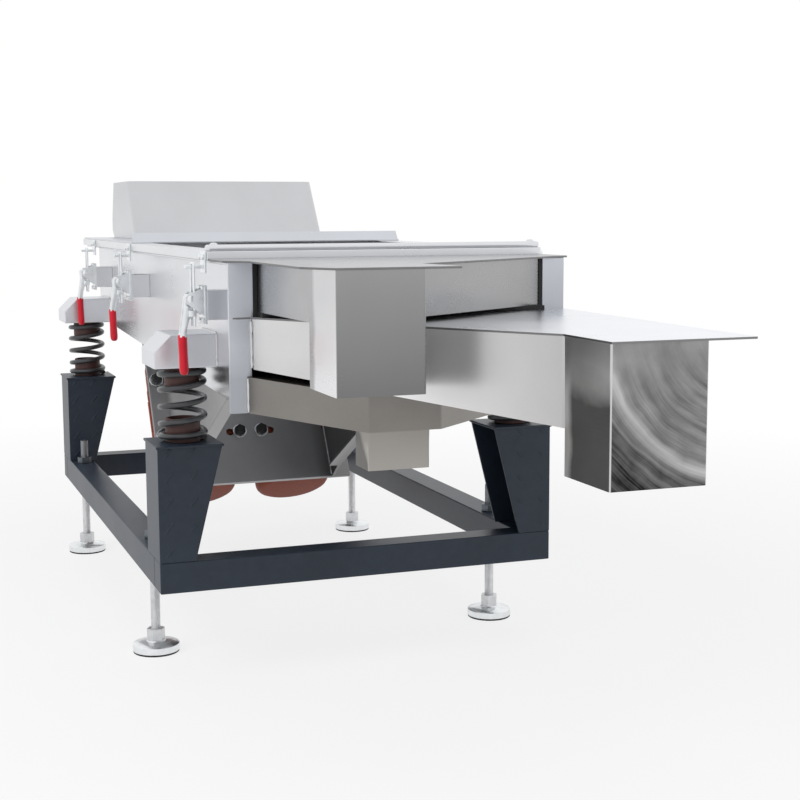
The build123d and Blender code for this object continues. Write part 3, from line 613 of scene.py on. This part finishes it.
bolt = {"flat": 0.0215, "head": 0.009, "headAt": 0.0068, "nut": 0.010, "nutAt": 0.0056, "gap": 0.0005,
        "washer": [(0.0075, 0.0005), (0.0145, 0.0005), (0.015, 0.0015), (0.0145, 0.0025), (0.0075, 0.0025)],
        "crown": [(0, 0.0122), (0.007, 0.0122), (0.008, 0.0112)],
        "tip": [(0, 0.014), (0.0055, 0.014), (0.0062, 0.013), (0.0062, 0.0)]}
bm = bmesh.new()
for side in (-1, 1):
    for x in (-motor["boltAcross"], motor["boltAcross"]):
        for z in (-motor["boltAlong"], motor["boltAlong"]):
            face = motorFrame(side) @ at(x, -motor["foot"] - motor["plate"], z) @ turned(quarter, "X")
            lathe(bm, bolt["washer"], face, 28, 1)
            hexHead(bm, bolt["flat"], bolt["head"], face @ at(0, 0, bolt["headAt"]))
            lathe(bm, bolt["crown"], face, 20)
            behind = motor["footThick"] - motor["foot"] + bolt["gap"]
            back = motorFrame(side) @ at(x, behind, z) @ turned(-quarter, "X")
            hexHead(bm, bolt["flat"], bolt["nut"], back @ at(0, 0, bolt["nutAt"]))
            lathe(bm, bolt["tip"], back, 16)
finishPiece("plate_bolts", bm, "deck", [boltBlack, zinc], ["motor_bolts"], 40)
print("motors built")


latch = {"ys": {"front": baseY - 0.645, "mid": baseY + 0.005, "rear": baseY + 0.446}, "baseOut": 0.0164}
lever = {"x": 0.300, "z": 0.622, "inner": 0.0050, "thick": 0.0025, "pin": 0.0034, "pinHead": 0.0055,
         "gripX": 0.3108, "gripTop": 0.567, "gripLow": 0.506, "grip": 0.007, "gripLean": -0.03,
         "gripWide": 1.15}
bow = {"rod": 0.0020, "x": 0.2935, "half": 0.0105, "low": 0.580, "bend": 0.0045, "top": 0.675,
       "linkX": 0.299, "linkZ": 0.600, "lug": (0.0125, 0.0046, 0.0100), "nut": (0.0050, 0.004),
       "nutGap": 0.0072}
latchScrew = {"head": (0.008, 0.004),           # screws of each latch base and of its hook plate
              "spots": ((0.2811, 0.0105, 0.5885), (0.2811, 0.0105, 0.6375), (0.2801, 0.010, 0.684))}


def handed(side, y):
    return at(0, y, 0) @ Matrix.Scale(side, 4, (1, 0, 0))


def leverPiece(name, body, side, y, node):
    bm = bmesh.new()
    x, z, inner, thick = (lever[k] for k in ("x", "z", "inner", "thick"))
    grip, gx, top, low, slant = (lever[k] for k in ("grip", "gripX", "gripTop", "gripLow", "gripLean"))
    pin, head = lever["pin"], lever["pinHead"]
    stand = handed(side, y)
    cheek = [(x - 0.006, z + 0.006), (x + 0.004, z + 0.007), (x + 0.008, z + 0.002), (x + 0.0095, z - 0.020),
             (gx + 0.0035, z - 0.048), (gx + 0.0050, top - 0.003), (gx - 0.0050, top - 0.003),
             (gx - 0.0065, z - 0.044), (x + 0.0005, z - 0.031), (x - 0.006, z - 0.026),
             (x - 0.008, z - 0.010)]
    outer = inner + thick
    reach = latch["baseOut"] + 0.0008 - outer   # pivot pin goes through the base cheek
    pinShape = [(0, reach + 0.0016), (0.0038, reach + 0.0013), (head, reach), (head, reach - 0.0006),
                (pin, reach - 0.0006), (pin, -thick)]
    for way, face in ((-1, -inner), (1, outer)):                  # outline in X and Z, thickness along -Y
        platePiece(bm, cheek, thick, stand @ at(0, face, 0) @ turned(quarter, "X"), 0.0006)
        lathe(bm, pinShape, stand @ at(x, way * outer, z) @ turned(-way * quarter, "X"), 20)
    strap = at(x + 0.0098, 0, z - 0.040) @ turned(math.radians(-8), "Y")
    brick(bm, (0.0025, 2 * inner, 0.030), stand @ strap, 0.0006)
    brick(bm, (0.009, 2 * inner, 0.006), stand @ at(gx, 0, top), 0.0008)
    sleeve = [(0, top + 0.0005), (grip * 0.8, top + 0.0005), (grip * 0.98, top - 0.001), (grip, top - 0.004),
              (grip * 0.95, low + 0.030), (grip * 1.02, low + 0.010), (grip * 0.97, low + 0.006),
              (grip * 0.8, low + 0.0025), (grip * 0.5, low + 0.0006), (0, low)]
    lean = Matrix(((1, 0, -slant, gx + slant * top), (0, lever["gripWide"], 0, 0), (0, 0, 1, 0),
                   (0, 0, 0, 1)))
    lathe(bm, sleeve, stand @ lean, 24, 1)
    finishPiece(name, bm, body, [zinc, gripRed], [node], 40)


def pushed(bm, face, vec):
    out = bmesh.ops.extrude_face_region(bm, geom=[face])["geom"]
    bmesh.ops.translate(bm, vec=vec, verts=only(bmesh.types.BMVert, out))
    return only(bmesh.types.BMFace, out)[0]


def swept(bm, face, cent):                      # a quarter bend
    out = bmesh.ops.spin(bm, geom=[face], cent=cent, axis=(-1, 0, 0), dvec=(0, 0, 0), angle=quarter, steps=6,
                         use_merge=False, use_duplicate=False)["geom_last"]
    return only(bmesh.types.BMFace, out)[0]


def bowPiece(name, body, side, y, node):
    bm = bmesh.new()
    stand = handed(side, y)
    half, x, low, top, bend = (bow[k] for k in ("half", "x", "low", "top", "bend"))
    ring = bmesh.ops.create_circle(bm, cap_ends=True, segments=12, radius=bow["rod"])["verts"]
    bmesh.ops.translate(bm, vec=(x, -half, low), verts=ring)
    face = pushed(bm, ring[0].link_faces[0], (0, 0, top - bend - low))
    face = swept(bm, face, (x, -half + bend, top - bend))
    face = pushed(bm, face, (0, 2 * (half - bend), 0))
    face = swept(bm, face, (x, half - bend, top - bend))
    pushed(bm, face, (0, 0, low - top + bend))
    bmesh.ops.transform(bm, matrix=stand, verts=bm.verts)
    for dy in (-half, half):                    # trunnion lug on the link pin, lock nuts above and below it
        brick(bm, bow["lug"], stand @ at((x + bow["linkX"]) / 2, dy, bow["linkZ"]), 0.0016, 3)
        for dz in (-bow["nutGap"], bow["nutGap"]):
            hexHead(bm, *bow["nut"], stand @ at(x, dy, bow["linkZ"] + dz))
    finishPiece(name, bm, body, [zinc], [node], 45)


for side, hand in bothSides:
    for spot, y in latch["ys"].items():
        leverPiece(f"lever_{spot}_{hand}", f"handle_{spot}_{hand}", side, y, f"handle_{spot}_{hand}")
        bowPiece(f"bow_{spot}_{hand}", f"pull_bow_{spot}_{hand}", side, y, f"pull_bow_{spot}_{hand}")
bm = bmesh.new()
for side in (-1, 1):
    for y in latch["ys"].values():
        for x, dy, z in latchScrew["spots"]:
            for way in (-1, 1):
                hexHead(bm, *latchScrew["head"], handed(side, y) @ at(x, way * dy, z) @ turned(quarter, "Y"))
finishPiece("latch_screws", bm, "deck", [zinc], (), 40)
print("latches built")


frontBar = {"half": 0.274, "front": baseY - 0.664, "depth": 0.022, "low": 0.6925, "high": 0.7025,
            "round": 0.004, "screwX": 0.262,
            "screw": [(0, 0.0032), (0.004, 0.0028), (0.006, 0.0012), (0.0065, 0)]}
bm = bmesh.new()
low, high, depth = frontBar["low"], frontBar["high"], frontBar["depth"]
middleY = frontBar["front"] + depth / 2
brick(bm, (2 * frontBar["half"], depth, high - low), at(0, middleY, (low + high) / 2), frontBar["round"], 4)
for x in (-frontBar["screwX"], frontBar["screwX"]):
    lathe(bm, frontBar["screw"], at(x, middleY, high), 20)
finishPiece("front_bar", bm, "deck", [steel], (), 40)
print("front bar fitted")


pillar = {"ys": (baseY - 0.575, baseY + 0.575 - 0.104), "depth": 0.104, "outer": 0.340, "low": 0.200,
          "high": 0.383, "topWidth": 0.104, "footWidth": 0.058}
tread = {"length": 0.024, "width": 0.0040, "height": 0.0013, "across": 0.040, "up": 0.040, "margin": 0.017,
         "rim": 0.010, "lean": math.radians(50)}


def treadBars(side):
    bm = bmesh.new()
    low, tall = pillar["low"], pillar["high"] - pillar["low"]
    lean = turned(quarter, "X") @ turned(-side * tread["lean"], "Z")
    flat = Matrix.Diagonal((tread["length"] / 2, tread["width"] / 2, tread["height"], 1))
    for y0 in pillar["ys"]:
        for k in range(int((tall - tread["margin"]) / tread["up"]) + 1):
            up = tread["margin"] + k * tread["up"]
            wide = pillar["footWidth"] + (pillar["topWidth"] - pillar["footWidth"]) * up / tall
            d = tread["margin"]
            while d < wide - tread["rim"]:
                for y in (y0, y0 + pillar["depth"]):
                    old = known(bm)
                    bmesh.ops.create_uvsphere(bm, u_segments=12, v_segments=4, radius=1.0)
                    place(bm, old, at(side * (pillar["outer"] - d), y, low + up) @ lean @ flat)
                d += tread["across"]
    return bm


for side, hand in bothSides:
    finishPiece(f"tread_bars_{hand}", treadBars(side), "base", [framePaint])
print("tread bars pressed")


weld = {"wall": 0.242, "bracketLow": 0.511, "bracketHigh": 0.561, "bracketTop": 0.5625, "bracket": 0.0026,
        "flangeFront": baseY - 0.7654, "flanges": ((0.2405, 0.462, 0.511), (0.2345, 0.526, 0.594)),
        "flange": 0.0028, "mountX": 0.1620, "mountSpan": (0.004, 0.27), "mount": 0.0022}
bm = bmesh.new()
for side in (-1, 1):
    x = side * weld["wall"]
    for y0 in pillar["ys"]:                     # the brackets stand over the pillars
        y1 = y0 + pillar["depth"]
        for y in (y0 - 0.0005, y1 + 0.0005):
            bead(bm, (x, y, weld["bracketLow"]), (x, y, weld["bracketHigh"]), weld["bracket"])
        bead(bm, (x, y0 + 0.002, weld["bracketTop"]), (x, y1 - 0.002, weld["bracketTop"]), weld["bracket"])
    y = weld["flangeFront"]
    for x, low, high in weld["flanges"]:
        bead(bm, (side * x, y, low), (side * x, y, high), weld["flange"], 0.008)
    x = side * weld["mountX"]                   # mount sides to the motor plate
    low, high = (plateLow + slopeUp * k - slopeBack * 0.0006 for k in weld["mountSpan"])
    bead(bm, (x, low.y, low.z), (x, high.y, high.z), weld["mount"], 0.007)
finishPiece("deck_welds", bm, "deck", [weldSteel], (), 60)
print("welds laid")


plainNodes = {"foot_stud_front_left": threadZinc, "foot_stud_front_right": threadZinc,
              "foot_stud_rear_left": threadZinc, "foot_stud_rear_right": threadZinc,
              "upper_screen_mesh": screenWire, "lower_screen_mesh": screenWire,
              "upper_screen_frame": steel, "lower_screen_frame": steel,
              "rotor_left": zinc, "rotor_right": zinc}
for name, mat in plainNodes.items():
    nodes[name].data.materials.clear()
    nodes[name].data.materials.append(mat)
print("plain nodes finished")


paper = {"size": 9.0, "drop": 0.0005, "middleY": 0.3, "near": 0.9, "far": 2.6, "glow": (0.80, 1.0),
         "colour": (0.88, 0.88, 0.88, 1)}
room = {"soft": (0.97, 0.98, 1.0, 1), "softLevel": 0.42, "white": (1, 1, 1, 1), "aim": (0, 0.1, 0.4)}
lamps = {"key": ((-2.8, -1.2, 2.4), 2.4, 55.0),                   # place, size, power
         "fill": ((1.6, -3.0, 1.6), 2.2, 10.0),
         "top": ((0.0, 0.2, 3.4), 2.8, 16.0)}
view = {"spot": (-0.7615, -2.8215 + baseY, 0.748), "turn": 20.19, "rise": -7.28, "roll": -0.23,
        "lens": 65.706, "sensor": 36.0}


def studioFloor():
    bm = bmesh.new()
    bmesh.ops.create_grid(bm, x_segments=1, y_segments=1, size=paper["size"])
    bmesh.ops.translate(bm, vec=(0, 0, -paper["drop"]), verts=bm.verts)
    mesh = bpy.data.meshes.new("studio_floor")
    bm.to_mesh(mesh)
    bm.free()
    floor = bpy.data.objects.new("studio_floor", mesh)
    bpy.context.collection.objects.link(floor)
    f = Finish("floor_paper", {"Roughness": 0.9, "Base Color": paper["colour"]})
    glow = f.node("ShaderNodeEmission", {}, {"Color": room["white"], "Strength": 1.0})
    x, y = f.axis(0), f.axis(1) - paper["middleY"]
    fade = f.span((x * x + y * y) ** 0.5, paper["near"], paper["far"], *paper["glow"])
    shown = f.ray("Camera").most(f.ray("Glossy")) * fade          # paper sweeps into the white ground
    f.surface("Material Output", f.node("ShaderNodeMixShader", {}, {
        0: shown, 1: Val(f, f.shader.outputs[0]), 2: glow}))
    mesh.materials.append(f.mat)


def studioLight(scene):
    world = bpy.data.worlds.new("studio")
    scene.world = world
    world.use_nodes = True
    w = Nodes(world.node_tree)
    soft = w.node("ShaderNodeBackground", {}, {"Color": room["soft"], "Strength": room["softLevel"]})
    white = w.node("ShaderNodeBackground", {}, {"Color": room["white"], "Strength": 1.0})
    shown = w.ray("Camera").most(w.ray("Glossy")).most(w.ray("Transmission"))
    w.surface("World Output", w.node("ShaderNodeMixShader", {}, {0: shown, 1: soft, 2: white}))
    for name, (spot, size, power) in lamps.items():
        light = bpy.data.lights.new(name, "AREA")
        light.shape = "DISK"
        light.size = size
        light.energy = power
        lamp = bpy.data.objects.new(name, light)
        aim = Vector(room["aim"]) - Vector(spot)
        lamp.matrix_world = at(*spot) @ aim.to_track_quat("-Z", "Y").to_matrix().to_4x4()
        lamp.visible_glossy = False             # bare steel mirrors the white room, not the lamps
        bpy.context.collection.objects.link(lamp)


def studioCamera(scene):
    turn, rise, roll = (math.radians(view[k]) for k in ("turn", "rise", "roll"))
    ahead = Vector((math.sin(turn) * math.cos(rise), math.cos(turn) * math.cos(rise), math.sin(rise)))
    level = Vector((math.cos(turn), -math.sin(turn), 0))
    plumb = level.cross(ahead)
    right = level * math.cos(roll) + plumb * math.sin(roll)
    high = plumb * math.cos(roll) - level * math.sin(roll)
    lens = bpy.data.cameras.new("camera")
    lens.sensor_width = view["sensor"]
    lens.lens = view["lens"]
    camera = bpy.data.objects.new("camera", lens)
    camera.matrix_world = at(*view["spot"]) @ Matrix((right, high, -ahead)).transposed().to_4x4()
    bpy.context.collection.objects.link(camera)
    scene.camera = camera


scene = bpy.context.scene
scene.view_settings.view_transform = "Standard"
studioFloor()
studioLight(scene)
studioCamera(scene)
print("studio set")
